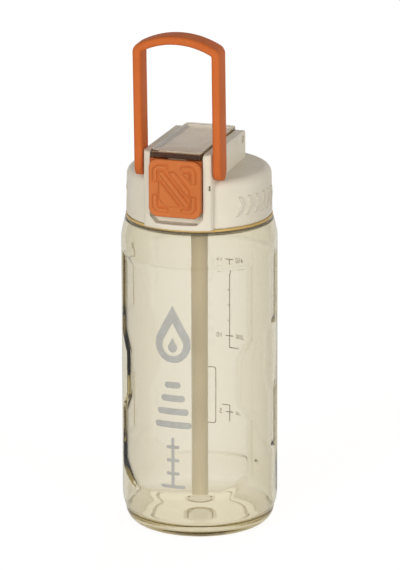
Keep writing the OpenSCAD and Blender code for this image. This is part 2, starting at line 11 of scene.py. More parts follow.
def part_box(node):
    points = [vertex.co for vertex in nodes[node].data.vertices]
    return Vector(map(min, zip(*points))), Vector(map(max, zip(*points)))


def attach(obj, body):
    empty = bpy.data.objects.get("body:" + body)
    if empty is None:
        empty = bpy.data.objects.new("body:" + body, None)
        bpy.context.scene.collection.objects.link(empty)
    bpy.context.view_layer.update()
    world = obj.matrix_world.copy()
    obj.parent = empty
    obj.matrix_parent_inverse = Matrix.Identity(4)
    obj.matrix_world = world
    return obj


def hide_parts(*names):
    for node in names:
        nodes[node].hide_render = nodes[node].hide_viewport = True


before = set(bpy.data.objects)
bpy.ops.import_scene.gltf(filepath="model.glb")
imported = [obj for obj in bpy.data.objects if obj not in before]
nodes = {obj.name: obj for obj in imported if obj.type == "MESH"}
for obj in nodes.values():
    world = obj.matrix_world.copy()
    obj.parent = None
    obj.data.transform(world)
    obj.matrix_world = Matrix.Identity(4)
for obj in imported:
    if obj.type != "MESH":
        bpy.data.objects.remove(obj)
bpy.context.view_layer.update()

MM = 0.001


def edge(node, axis, side):
    """One side of a CAD node's box, in millimetres: side is 0 for the low one and 1 for the high one."""
    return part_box(node)[side][axis] / MM


# ---------- sizes, in millimetres ----------

body_r = edge("bottle_body", 0, 1)
neck_top = edge("bottle_body", 2, 1)
ledge_z = 154.2
shoulder_r = 35.1
shoulder_h = 11.2
foot_r = 28.1
foot_round = 7.9
foot_draw = 1.5
ease_h = 9.3
wall = 2.2
floor_t = 4.0
panel_depth = 1.25
panel_top = 135.5
panel_bottom = 22.0
panel_angle = 58.7
waist_angle = 47.9
foot_angle = 36.0
flute_half = 5.2
flute_depth = 0.45
flute_spans = ((41.0, 71.0), (103.0, 137.0))
neck_r = 26.9
neck_bore = 24.9
thread_depth = 1.2
thread_lead = 4.0
thread_turns = 1.5
thread_z = neck_top - 3 - thread_lead * thread_turns


# ---------- mesh helpers ----------

def smoothstep(t):
    """Zero below 0, one above 1, and an S curve between."""
    t = np.clip(t, 0, 1)
    return t * t * (3 - 2 * t)


def piece_from(name, points, faces, body, stands_for=(), smooth=True):
    """Makes a mesh object from points in millimetres and faces, and hangs it on a body."""
    mesh = bpy.data.meshes.new(name)
    mesh.from_pydata((np.asarray(points, float) * MM).tolist(), [], faces.tolist())
    mesh.update()
    mesh.polygons.foreach_set("use_smooth", np.full(len(mesh.polygons), smooth))
    obj = bpy.data.objects.new(name, mesh)
    bpy.context.scene.collection.objects.link(obj)
    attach(obj, body)
    if stands_for:
        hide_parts(*stands_for)
    return obj


def grid_faces(rows, cols, wrap_cols=True, wrap_rows=False, flip=False):
    """Quads between the neighbouring rows and columns of a grid of points, as an index array."""
    r = np.arange(rows if wrap_rows else rows - 1)
    c = np.arange(cols if wrap_cols else cols - 1)
    r, c = np.meshgrid(r, c, indexing="ij")
    r2 = (r + 1) % rows
    c2 = (c + 1) % cols
    quads = np.stack([r * cols + c, r * cols + c2, r2 * cols + c2, r2 * cols + c], -1).reshape(-1, 4)
    return quads[:, ::-1] if flip else quads


def merged(obj, distance=0.000002):
    """Joins points that lie on each other, which closes poles and seams."""
    bm = bmesh.new()
    bm.from_mesh(obj.data)
    bmesh.ops.remove_doubles(bm, verts=bm.verts, dist=distance)
    bmesh.ops.dissolve_degenerate(bm, edges=bm.edges, dist=distance)
    bm.to_mesh(obj.data)
    bm.free()
    return obj


def lathe(name, profile, body, stands_for=(), segments=96, closed=True):
    """A profile of (radius, height) points turned about the axis: x = r sin a, y = -r cos a."""
    profile = np.asarray(profile, float)
    a = np.linspace(0, 2 * np.pi, segments, endpoint=False)
    r, z = profile[:, :1], profile[:, 1:]
    points = np.stack([r * np.sin(a), -r * np.cos(a), z + 0 * a], -1).reshape(-1, 3)
    faces = grid_faces(len(profile), segments, wrap_rows=closed)
    return merged(piece_from(name, points, faces, body, stands_for))


def arc_points(cx, cy, r, start, stop, count):
    """Points of a circular arc, angles in degrees."""
    t = np.radians(np.linspace(start, stop, count))
    return np.stack([cx + r * np.cos(t), cy + r * np.sin(t)], -1)


quarters = ((1, 1, 0), (-1, 1, 90), (-1, -1, 180), (1, -1, 270))     # signs and first angle of each corner


def rounded_ring(half_x, half_y, r):
    """Points once round a rectangle with rounded corners."""
    return np.concatenate([arc_points(sx * (half_x - r), sy * (half_y - r), r, start, start + 90, 9)
                           for sx, sy, start in quarters])


def line_points(a, b, step):
    """Points from a to b, about one every step, without the last."""
    a, b = np.array(a, float), np.array(b, float)
    n = max(1, int(round(np.linalg.norm(b - a) / step)))
    return a + (b - a) * np.arange(n)[:, None] / n


def polygon_distance(x, y, corners):
    """Distance from each point to a closed outline, negative inside it."""
    corners = np.asarray(corners, float)
    nxt = np.roll(corners, -1, axis=0)
    best = np.full(x.shape, 1e9)
    inside = np.zeros(x.shape, bool)
    for (ax, ay), (bx, by) in zip(corners, nxt):
        ex, ey = bx - ax, by - ay
        t = np.clip(((x - ax) * ex + (y - ay) * ey) / (ex * ex + ey * ey), 0, 1)
        best = np.minimum(best, np.hypot(x - ax - t * ex, y - ay - t * ey))
        crosses = (ay > y) != (by > y)
        side = (bx - ax) * (y - ay) / np.where(by == ay, 1e-9, by - ay) + ax
        inside ^= crosses & (x < side)
    return np.where(inside, -best, best)


# ---------- clear bottle ----------

def shoulder_radius(r, t):
    """The shoulder draws in from r with the 1.3rd power of the way up it."""
    return r - (body_r - shoulder_r) * t ** 1.3


def outer_profile():
    """The wall outside, from the middle of the base up to the ledge."""
    dimple = [[0, 0.8], [4, 0.8], [5.6, 0.75], [6.0, 0.45], [6.3, 0.1], [6.8, 0.02]]
    t = np.linspace(0, 1, 8)[1:]
    ease = np.stack([body_r - foot_draw * (1 - t) ** 2.9, foot_round + ease_h * t], -1)
    s = np.linspace(0, 1, 14)[1:]
    shoulder = np.stack([shoulder_radius(body_r, s), ledge_z - shoulder_h + (shoulder_h - 0.6) * s], -1)
    edges_z = [(ease_h + foot_round, 21.0, 1.3), (21.0, 23.4, 0.4), (23.4, 57.5, 1.3), (57.5, 68.0, 0.75),
               (68.0, 88.0, 1.3), (88.0, 99.0, 0.75), (99.0, 134.4, 1.3), (134.4, 137.8, 0.4),
               (137.8, ledge_z - shoulder_h, 1.3)]
    straight = np.concatenate([line_points([body_r, a], [body_r, b], s) for a, b, s in edges_z])
    return np.concatenate([
        dimple, line_points([8, 0], [foot_r - 6, 0], 3),
        [[foot_r - 6, 0], [foot_r - 5.8, 0.25], [foot_r - 5.4, 0.55], [foot_r - 5.0, 0.55],
         [foot_r - 4.6, 0.25], [foot_r - 4.4, 0]],
        line_points([foot_r - 3.5, 0], [foot_r, 0], 1.2),
        arc_points(foot_r, foot_round, foot_round, -90, 0, 14), ease[:-1], straight,
        [[body_r, ledge_z - shoulder_h]], shoulder,
        [[shoulder_r - 0.08, ledge_z - 0.4], [shoulder_r - 0.25, ledge_z - 0.12],
         [shoulder_r - 0.6, ledge_z]]])


def neck_profile():
    """The neck outside, over the lip, and down the bore."""
    return np.concatenate([
        arc_points(neck_r + 1.5, ledge_z + 1.5, 1.5, 270, 180, 6),
        line_points([neck_r, ledge_z + 1.9], [neck_r, neck_top - 0.8], 0.34),
        arc_points(neck_r - 0.5, neck_top - 0.5, 0.5, 0, 90, 5),
        arc_points(neck_bore + 0.4, neck_top - 0.4, 0.4, 90, 180, 5),
        line_points([neck_bore, neck_top - 1], [neck_bore, ledge_z - 0.5], 3)])


def inner_profile():
    """The wall inside, from under the neck down to the middle of the floor."""
    inner_r = body_r - wall
    inner_foot = foot_r - 0.5
    inner_round = inner_r - inner_foot
    s = np.linspace(1, 0, 12)
    shoulder = np.stack([shoulder_radius(inner_r, s), ledge_z - shoulder_h - 1 + (shoulder_h - 2.4) * s], -1)
    return np.concatenate([
        arc_points(neck_bore + 1.5, ledge_z - 0.5, 1.5, 180, 270, 5),
        line_points([neck_bore + 3.4, ledge_z - 2.0], [shoulder_r - wall - 1.4, ledge_z - 2.05], 2),
        shoulder[:-1],
        line_points([inner_r, ledge_z - shoulder_h - 1], [inner_r, foot_round + ease_h], 1.7),
        arc_points(inner_foot, floor_t + inner_round, inner_round, 0, -90, 14),
        line_points([inner_foot - 2, floor_t], [0, floor_t], 4), [[0, floor_t]]])


def wall_angles():
    """Angles round the wall, close together where the panels' edges run."""
    half = np.concatenate([np.arange(a, b - s / 2, s) for a, b, s in (
        (0, 44, 2.2), (44, 62, 0.75), (62, 82, 1.5), (82, 98, 0.8), (98, 118, 1.5),
        (118, 136, 0.75), (136, 180, 2.2))])
    return np.radians(np.concatenate([half, 180 + half]))


def recess_map(soft):
    """Depth of the panels and flutes over angle and height, each edge an S curve about soft mm wide."""
    angle = np.linspace(-180, 180, 721)
    height = np.arange(15, 145.01, 0.4)
    z, a = np.meshgrid(height, angle, indexing="ij")
    arm = body_r * np.pi / 180
    wide, waist, foot = panel_angle * arm, waist_angle * arm, foot_angle * arm
    half = [(foot, panel_bottom), (wide, panel_bottom + 10), (wide, 58.5), (waist, 67), (waist, 89),
            (wide, 98), (wide, panel_top)]
    outline = half + [(-x, y) for x, y in half[::-1]]
    depth = np.zeros(z.shape)
    for centre in (0, 180):
        x = ((a - centre + 180) % 360 - 180) * arm
        rounded = polygon_distance(x, z, outline)
        depth = np.maximum(depth, panel_depth * smoothstep(0.5 - rounded / soft))
    for centre in (-90, 90):
        x = (a - centre) * arm
        for low, high in flute_spans:
            mid, reach = (low + high) / 2, (high - low) / 2
            d = np.hypot(np.maximum(np.abs(x) - flute_half + 1.5, 0),
                         np.maximum(np.abs(z - mid) - reach + 1.5, 0)) - 1.5
            d = np.where(d > -1.5, d, np.maximum(np.abs(x) - flute_half, np.abs(z - mid) - reach))
            depth = np.maximum(depth, flute_depth * smoothstep(0.5 - d / soft))
    kernel = np.array([1, 4, 6, 4, 1]) / 16
    for axis, passes in ((0, 2), (1, 1)):
        for _ in range(passes):
            padded = np.pad(depth, [(2, 2) if i == axis else (0, 0) for i in range(2)], mode="edge")
            along = np.arange(depth.shape[axis])
            depth = sum(k * np.take(padded, along + i, axis) for i, k in enumerate(kernel))
    return angle, height, depth


def sample_map(field, theta, z):
    """Reads a recess map at angles and heights by straight interpolation."""
    angle, height, depth = field
    t = (np.degrees(theta) + 180) % 360 - 180
    u = np.clip((t - angle[0]) / (angle[1] - angle[0]), 0, len(angle) - 1.001)
    v = (z - height[0]) / (height[1] - height[0])
    outside = (v < 0) | (v > len(height) - 1)
    v = np.clip(v, 0, len(height) - 1.001)
    i, j = v.astype(int), u.astype(int)
    fv, fu = v - i, u - j
    d = (depth[i, j] * (1 - fv) * (1 - fu) + depth[i + 1, j] * fv * (1 - fu)
         + depth[i, j + 1] * (1 - fv) * fu + depth[i + 1, j + 1] * fv * fu)
    return np.where(outside, 0, d)


outer_recess = recess_map(3.6)
inner_recess = recess_map(3.2)


def thread_height(theta, z):
    """Height of the neck's thread: a rounded ridge on a helix that fades in and out over 20 degrees."""
    a = np.degrees(theta) % 360
    best = np.zeros(np.broadcast(a, z).shape)
    for turn in (0, 1, 2):
        along = a + 90 + 360 * (turn - 1)
        run = np.clip(np.minimum(along, 360 * thread_turns - along) / 20, 0, 1)
        centre = thread_z + thread_lead * along / 360
        d = np.abs(z - centre)
        best = np.maximum(best, smoothstep(run) * thread_depth * smoothstep((1.05 - d) / 0.6))
    return best


def clear_bottle():
    """The whole clear wall as one closed surface: radius = profile - recess + thread, round the axis."""
    outside, neck, inside = outer_profile(), neck_profile(), inner_profile()
    profile = np.concatenate([outside, neck, inside])
    region = np.repeat([0, 1, 2], [len(outside), len(neck), len(inside)])[:, None]
    theta = wall_angles()[None, :]
    r, z = profile[:, :1], profile[:, 1:]
    outer = np.where((region == 0) & (z > 15), sample_map(outer_recess, theta, z + 0 * theta), 0)
    inner = np.where((region == 2) & (z > 18), 0.15 * sample_map(inner_recess, theta, z + 0 * theta), 0)
    on_neck = (region == 1) & (r > neck_r - 0.05) & (r < neck_r + 0.05)
    ridge = np.where(on_neck, thread_height(theta, z + 0 * theta), 0)
    r = r - outer - inner + ridge
    points = np.stack([r * np.sin(theta), -r * np.cos(theta), z + 0 * theta], -1).reshape(-1, 3)
    faces = grid_faces(len(profile), theta.size)
    return merged(piece_from("clear_bottle", points, faces, "bottle", ("bottle_body",)))


def painted_rim_light():
    """Painted light: an opaque golden band on the wall's upper corner, turned about the axis, for the bright
    golden line that the clear corner shows.
    """
    out_r = shoulder_r + 0.12
    profile = [[out_r, ledge_z - 1.0], [out_r, ledge_z - 0.35], [out_r - 0.12, ledge_z - 0.12],
               [out_r - 0.4, ledge_z], [out_r - 0.9, ledge_z + 0.02], [out_r - 0.9, ledge_z - 0.3],
               [out_r - 0.5, ledge_z - 0.5], [out_r - 0.3, ledge_z - 1.0]]
    return lathe("painted_rim_light", profile, "bottle", segments=192)


def painted_shade_band():
    """Painted shade: an opaque deep amber band just inside the cover's tray, a rounded rectangle drawn
    upright, for the shaded liner seen through the amber wall.
    """
    gap, thick = 0.42, 0.45
    x0, x1 = edge("cover_shell", 0, 0) + gap, edge("cover_shell", 0, 1) - gap
    y0, y1 = edge("cover_shell", 1, 0) + gap, edge("cover_shell", 1, 1) - gap
    low, high = edge("cover_shell", 2, 0) + 0.15, edge("cover_shell", 2, 1) - 1.5
    cx, cy, hw, hd = (x0 + x1) / 2, (y0 + y1) / 2, (x1 - x0) / 2, (y1 - y0) / 2
    rings = []
    for inset, z in ((0, low), (0, high), (thick, high), (thick, low)):
        ring = rounded_ring(hw - inset, hd - inset, 1.2 - inset)
        rings.append(np.concatenate([ring + [cx, cy], np.full((len(ring), 1), z)], 1))
    points = np.concatenate(rings)
    faces = grid_faces(4, len(rings[0]), wrap_rows=True)
    return merged(piece_from("painted_shade_band", points, faces, "cover", smooth=False))


# ---------- printed marks on the wall ----------

ink_lift = 0.05        # how far the ink stands off the wall


def wall_radius(theta, z):
    """Radius of the wall's outside at an angle and a height."""
    s = np.clip((z - (ledge_z - shoulder_h)) / (shoulder_h - 0.6), 0, 1)
    return shoulder_radius(body_r, s) - sample_map(outer_recess, theta, z)


def printed_patch(name, shape, centre, across, heights, step, lift=ink_lift):
    """Ink laid on the wall: the cells of a fine grid whose middle is inside the shape, wrapped round it.

    shape gives the distance to the ink's edge, negative inside. Points next to the edge move onto it."""
    x = np.arange(across[0], across[1] + step, step)
    y = np.arange(heights[0], heights[1] + step, step)
    gy, gx = np.meshgrid(y, x, indexing="ij")
    mid = shape(gx[:-1, :-1] + step / 2, gy[:-1, :-1] + step / 2) < 0
    rows, cols = gx.shape
    quads = grid_faces(rows, cols, wrap_cols=False).reshape(rows - 1, cols - 1, 4)[mid]
    used = np.unique(quads)
    d = shape(gx, gy)
    h = step * 0.2
    nx = (shape(gx + h, gy) - shape(gx - h, gy)) / (2 * h)
    ny = (shape(gx, gy + h) - shape(gx, gy - h)) / (2 * h)
    touch = np.zeros(rows * cols, int)
    np.add.at(touch, quads.ravel(), 1)
    border = (touch > 0) & (touch < 4)
    pull = np.where(border.reshape(rows, cols), np.clip(d, -step, step), 0)
    px, py = gx - pull * nx, gy - pull * ny
    theta = px / body_r + np.radians(centre)
    r = wall_radius(theta, py) + lift
    points = np.stack([r * np.sin(theta), -r * np.cos(theta), py], -1).reshape(-1, 3)[used]
    index = np.zeros(rows * cols, int)
    index[used] = np.arange(len(used))
    return piece_from(name, points, index[quads], "bottle")


def bar_shape(x0, x1, y0, y1, round_r):
    """A rectangle with rounded corners."""
    cx, cy, hw, hh = (x0 + x1) / 2, (y0 + y1) / 2, (x1 - x0) / 2 - round_r, (y1 - y0) / 2 - round_r

    def distance(x, y):
        over_x, over_y = np.abs(x - cx) - hw, np.abs(y - cy) - hh
        outside = np.hypot(np.maximum(over_x, 0), np.maximum(over_y, 0))
        return outside + np.minimum(np.maximum(over_x, over_y), 0) - round_r
    return distance


def drop_shape(cx, cy, r, tip):
    """A water drop: a disc with two straight flanks that meet above it."""
    ny = 1 / (tip / r)
    nx = math.sqrt(1 - ny * ny)

    def distance(x, y):
        dx, dy = np.abs(x - cx), y - cy
        away = np.hypot(dx, dy)
        flank = dx * nx + dy * ny - r
        by_flank = np.where(flank > 0, flank, np.maximum(flank, away - tip))
        return np.where((dy > r * ny) & (dx * ny < dy * nx), by_flank, away - r)
    return distance


def joined(*shapes):
    """The shapes together."""
    return lambda x, y: np.min([s(x, y) for s in shapes], axis=0)


def cut(shape, hole):
    """The shape without the hole."""
    return lambda x, y: np.maximum(shape(x, y), -hole(x, y))


def front_design():
    """A plain water drop over four level bars that grow longer towards the foot."""
    drop = cut(drop_shape(0, 98, 9.3, 19), drop_shape(0, 97.4, 5.4, 11))
    core = drop_shape(0, 96.2, 2.4, 5)
    bars = [bar_shape(-w, w, y, y + 3.2, 1.6) for w, y in ((4.2, 76), (6.2, 69.4), (8.2, 62.8), (9.6, 56.2))]
    line = bar_shape(-0.8, 0.8, 26, 51.5, 0.8)
    notches = [bar_shape(-w, w, y, y + 1.6, 0.8)
               for w, y in ((3.4, 45.8), (3.4, 39.2), (3.4, 32.6), (6.4, 26))]
    return printed_patch("front_print", joined(drop, core, line, *bars, *notches), -3.0, (-11, 11),
                         (24, 119), 0.34)


def back_scale():
    """A level line with three long ticks, short ticks between them, and a rounded frame."""
    line = joined(bar_shape(-0.22, 0.22, 76.5, 121.5, 0.2), bar_shape(-0.22, 0.22, 38.5, 47.0, 0.2),
                  bar_shape(-5.2, 0.22, 76.3, 76.75, 0.2), bar_shape(-0.22, 4.2, 46.8, 47.2, 0.2))
    ticks = [bar_shape(-2.2, 2.2, y - 0.24, y + 0.24, 0.2) for y in (43.5, 82.4, 121.3)]
    short = [bar_shape(-0.2, 1.3, y - 0.18, y + 0.18, 0.15) for y in (90.2, 98, 105.7, 113.5)]
    frame_bar = cut(bar_shape(7.4, 12.6, 37, 66, 1.4), bar_shape(7.8, 12.2, 37.4, 65.6, 1.1))
    return printed_patch("back_scale", joined(line, frame_bar, *ticks, *short), 173.4, (-6, 14),
                         (35, 123), 0.2)


def back_numbers():
    """Plain level numbers beside the long ticks, in the two measures."""
    made = []
    for text, angle, z, size in (
            ("15", 181.9, 121.3, 3.4), ("10", 181.9, 82.4, 3.4), ("5", 181.0, 43.5, 3.4),
            ("450", 164.4, 121.3, 3.2), ("300", 164.4, 82.4, 3.2), ("150", 164.4, 43.5, 3.2)):
        curve = bpy.data.curves.new("level_" + text, "FONT")
        curve.body = text
        curve.size = size
        curve.align_x = "CENTER"
        curve.align_y = "CENTER"
        flat = bpy.data.objects.new("level_" + text, curve)
        mesh = bpy.data.meshes.new_from_object(flat)
        co = np.zeros(len(mesh.vertices) * 3)
        mesh.vertices.foreach_get("co", co)
        co = co.reshape(-1, 3)
        theta = co[:, 0] / body_r + math.radians(angle)
        height = z + co[:, 1]
        r = wall_radius(theta, height) + ink_lift
        wrapped = np.stack([r * np.sin(theta), -r * np.cos(theta), height], -1) * MM
        mesh.vertices.foreach_set("co", wrapped.ravel())
        mesh.update()
        piece = bpy.data.objects.new("level_" + text, mesh)
        bpy.context.scene.collection.objects.link(piece)
        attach(piece, "bottle")
        bpy.data.objects.remove(flat)
        made.append(piece)
    return made


# ---------- straw, spout and seals ----------

def straw_tube():
    """The straw: outside, rounded lower end, bore, and top end as one turned profile."""
    low, high = edge("straw", 2, 0), edge("straw", 2, 1)
    out_r, in_r = edge("straw", 0, 1), edge("straw", 0, 1) - 0.9
    mid = (out_r + in_r) / 2
    profile = np.concatenate([
        arc_points(mid, low + 0.45, 0.45, -90, 0, 5), line_points([out_r, low + 1], [out_r, high], 6),
        [[out_r, high], [in_r, high]], line_points([in_r, high - 1], [in_r, low + 0.45], 6),
        arc_points(mid, low + 0.45, 0.45, 180, 270, 5)[:-1]])
    return lathe("straw_tube", profile, "lid", ("straw",), 64)


def gasket_ring():
    """The neck's seal: a flat ring with two rounded lips."""
    low, high = edge("neck_gasket", 2, 0), edge("neck_gasket", 2, 1)
    out_r, in_r = edge("neck_gasket", 0, 1), neck_bore + 0.3
    profile = np.concatenate([
        arc_points(out_r - 0.5, low + 0.5, 0.5, -90, 0, 5),
        arc_points(out_r - 0.5, high - 0.5, 0.5, 0, 90, 5),
        arc_points(in_r + 0.5, high - 0.5, 0.5, 90, 180, 5),
        arc_points(in_r + 0.5, low + 0.5, 0.5, 180, 270, 5)])
    return lathe("seal_ring", profile, "gasket", ("neck_gasket",), 128)


# ---------- handle ----------

bail_t = 4.1
bail_depth = 11.0
bail_rise = 64.2
bail_arch_r = 40.0
bail_corner = 4.5
bail_round = 1.5
leg_in = edge("bail_handle", 0, 1) - bail_t
pivot_y = -28.8
pivot_z = 183.6
bail_lean = 2.0


def bail_outline(half_w, arch_r, top, corner):
    """Right half of an arch: up the leg, round the corner and to the top, as even steps by length."""
    cx = half_w - corner
    cy = top - arch_r
    y = cy + math.sqrt((arch_r - corner) ** 2 - cx * cx)
    turn = math.degrees(math.atan2(y - cy, cx))
    leg = line_points([half_w, -bail_depth / 2], [half_w, y], 0.7)
    bend = arc_points(cx, y, corner, 0, turn, 24)
    arch = arc_points(0, cy, arch_r, turn, 90, 40)
    return leg, bend, arch


def bail():
    """The carry handle: a section with rounded corners, up one leg, over the arch and down the other.

    Each station joins the inner outline to the outer one. The feet close in a half circle round the pins."""
    outer = bail_outline(leg_in + bail_t, bail_arch_r, bail_rise, bail_corner)
    inner = bail_outline(leg_in, bail_arch_r - bail_t, bail_rise - bail_t, 1.0)
    leg_n = len(outer[0])
    inner_leg = np.stack([np.full(leg_n, leg_in),
                          np.linspace(-bail_depth / 2, inner[1][0][1], leg_n + 1)[:-1]], -1)
    out_pts = np.concatenate([outer[0], outer[1], outer[2][1:]])
    in_pts = np.concatenate([inner_leg, inner[1], inner[2][1:]])
    out_pts = np.concatenate([out_pts, (out_pts * [-1, 1])[-2::-1]])
    in_pts = np.concatenate([in_pts, (in_pts * [-1, 1])[-2::-1]])
    quarter = np.radians(np.linspace(0, 90, 6))
    round_a = bail_round / (bail_t / 2)
    corners = []
    for sa, sb, start in quarters:
        t = quarter + math.radians(start)
        corners.append(np.stack([sa * (1 - round_a) + round_a * np.cos(t),
                                 sb * (bail_depth / 2 - bail_round) + bail_round * np.sin(t)], -1))
    section = np.concatenate(corners)
    mid = (out_pts + in_pts) / 2
    half = (out_pts - in_pts) / 2
    low = np.clip(-mid[:, 1] / (bail_depth / 2), 0, 1)
    shrink = np.sqrt(1 - low ** 2)
    across = mid[:, None, :] + half[:, None, :] * section[None, :, :1]
    y = section[None, :, 1] * shrink[:, None]
    lean = math.radians(bail_lean)
    x = across[..., 0]
    z = across[..., 1]
    points = np.stack([x, pivot_y + y * math.cos(lean) - z * math.sin(lean),
                       pivot_z + y * math.sin(lean) + z * math.cos(lean)], -1).reshape(-1, 3)
    faces = grid_faces(len(mid), len(section), flip=True)
    return merged(piece_from("carry_handle", points, faces, "handle", ("bail_handle",)))


# ---------- button pad ----------

pad_relief = 0.7
pad_sink = 0.35


def bracket_outline(half_w, half_h):
    """One corner bracket of the pad."""
    arm, reach_x, reach_y, bevel = 1.7, 6.6, 8.0, 2.0
    return [(half_w - reach_x, half_h), (half_w - bevel, half_h), (half_w, half_h - bevel),
            (half_w, half_h - reach_y), (half_w - arm, half_h - reach_y),
            (half_w - arm, half_h - bevel - 0.5), (half_w - bevel - 0.5, half_h - arm),
            (half_w - reach_x, half_h - arm)]


def pad_height(x, z, half_w, half_h):
    """Relief of the pad: corner brackets, slanting ribs and two corner triangles with soft shoulders."""
    soft = 0.35
    ax, az = np.abs(x), np.abs(z)
    brackets = polygon_distance(ax, az, bracket_outline(half_w - 2.6, half_h - 2.8))
    in_w, in_h = half_w - 5.6, half_h - 5.8
    window = np.maximum(ax - in_w, az - in_h)
    c, s = math.cos(math.radians(50)), math.sin(math.radians(50))
    across = x * s + z * c
    ribs = np.full(x.shape, 9.0)
    for i in (-2, -1, 0, 1, 2):
        low = i * 4.3 - (0 if abs(i) == 2 else 1)
        high = low + (4.5 if abs(i) == 2 else 2)
        ribs = np.minimum(ribs, np.maximum(low - across, across - high))
    ribs = np.maximum(ribs, window)
    shape = np.minimum(brackets, ribs)
    inside_edge = -np.maximum(ax - half_w + 1.4, az - half_h + 1.4)
    moat = pad_sink * smoothstep(1.2 - shape / 0.8) * smoothstep(inside_edge / 0.6)
    raised = smoothstep(0.5 - shape / soft)
    return pad_relief * raised - moat * (1 - raised)


def button_face():
    """The pressed pad: a plate with cut corners, a rolled edge and an embossed front.

    The grid runs over a square; its outer rings go down the edge and close at the back."""
    x0, x1 = edge("button_pad", 0, 0), edge("button_pad", 0, 1)
    z0, z1 = edge("button_pad", 2, 0), edge("button_pad", 2, 1)
    back = edge("button_pad", 1, 1)
    front = edge("button_pad", 1, 0) + pad_relief
    half_w, half_h = (x1 - x0) / 2, (z1 - z0) / 2
    cx, cz = (x0 + x1) / 2, (z0 + z1) / 2
    bevel, roll = 4.4, 0.9
    face_rings, count = 84, 320
    t = np.linspace(0, 2 * np.pi, count, endpoint=False)
    c, s = np.cos(t), np.sin(t)

    def reach(w, h, r):
        """Distance from the middle to a rectangle with rounded corners, in each direction."""
        ca, sa = np.abs(c), np.abs(s)
        d = np.minimum(w / np.maximum(ca, 1e-6), h / np.maximum(sa, 1e-6))
        along = (w - r) * ca + (h - r) * sa
        root = along ** 2 - (w - r) ** 2 - (h - r) ** 2 + r * r
        corner = along + np.sqrt(np.maximum(root, 0))
        in_corner = (d * ca > w - r) & (d * sa > h - r)
        return np.where(in_corner, corner, d)

    flat = reach(half_w - roll, half_h - roll, bevel - roll)
    full = reach(half_w, half_h, bevel)
    face = np.linspace(0.004, 1, face_rings)[:, None] * flat[None, :]
    turn = np.radians(np.linspace(0, 90, 7))[1:, None]
    edge_r = flat + (full - flat) * np.sin(turn)
    edge_y = front + roll * (1 - np.cos(turn)) + 0 * flat
    x = np.concatenate([face * c, edge_r * c, [full * c], [full * c * 0.97], [0 * c]])
    z = np.concatenate([face * s, edge_r * s, [full * s], [full * s * 0.97], [0 * s]])
    y = np.concatenate([front + 0 * face, edge_y, [back - 0.15 + 0 * c], [back + 0 * c], [back + 0 * c]])
    y[:face_rings] -= pad_height(x[:face_rings], z[:face_rings], half_w, half_h)
    points = np.stack([cx + x, y, cz + z], -1).reshape(-1, 3)
    faces = grid_faces(len(x), count, flip=True)
    pad = piece_from("button_face", points, faces, "button", ("button_pad",))
    return merged(pad, 0.00004)


# ---------- clear cover ----------

def clear_cover():
    """The tray of the flip cover: rounded top edges outside, a flat well inside, as one closed surface.

    Each ring is a rounded rectangle; the rings run over the top, down the side and back up inside."""
    x0, x1 = edge("cover_shell", 0, 0), edge("cover_shell", 0, 1)
    y0, y1 = edge("cover_shell", 1, 0), edge("cover_shell", 1, 1)
    z0, z1 = edge("cover_shell", 2, 0), edge("cover_shell", 2, 1)
    cx, cy = (x0 + x1) / 2, (y0 + y1) / 2
    hw, hd = (x1 - x0) / 2, (y1 - y0) / 2
    shell, plate, top_r, corner_r = 0.35, 0.8, 0.3, 1.6
    roof = z1 - plate

    def ring(inset, r):
        """Rounded rectangle, inset from the cover's outline."""
        return rounded_ring(hw - inset, hd - inset, r)
    rings, heights = [], []
    for k in (0.0, 0.35, 0.7, 0.9):
        rings.append(ring(top_r, corner_r) * k)
        heights.append(z1)
    for a in np.radians(np.linspace(0, 90, 7)):
        rings.append(ring(top_r * (1 - math.sin(a)), corner_r))
        heights.append(z1 - top_r * (1 - math.cos(a)))
    for inset, z, r in ((0, z0 + 0.12, corner_r), (0.03, z0 + 0.03, 1.5), (0.12, z0, 1.4),
                        (shell - 0.1, z0, 1.2), (shell, z0 + 0.1, 1.0), (shell, roof - 0.15, 1.0),
                        (shell + 0.05, roof - 0.04, 0.9), (shell + 0.15, roof, 0.8)):
        rings.append(ring(inset, r))
        heights.append(z)
    for k in (0.6, 0.0):
        rings.append(ring(shell + 0.15, 0.8) * k)
        heights.append(roof)
    xy = np.array(rings)
    z = np.repeat(np.array(heights)[:, None], xy.shape[1], 1)
    points = np.concatenate([xy + [cx, cy], z[..., None]], -1).reshape(-1, 3)
    faces = grid_faces(len(rings), xy.shape[1], flip=True)
    return merged(piece_from("clear_cover", points, faces, "cover", ("cover_shell",)))


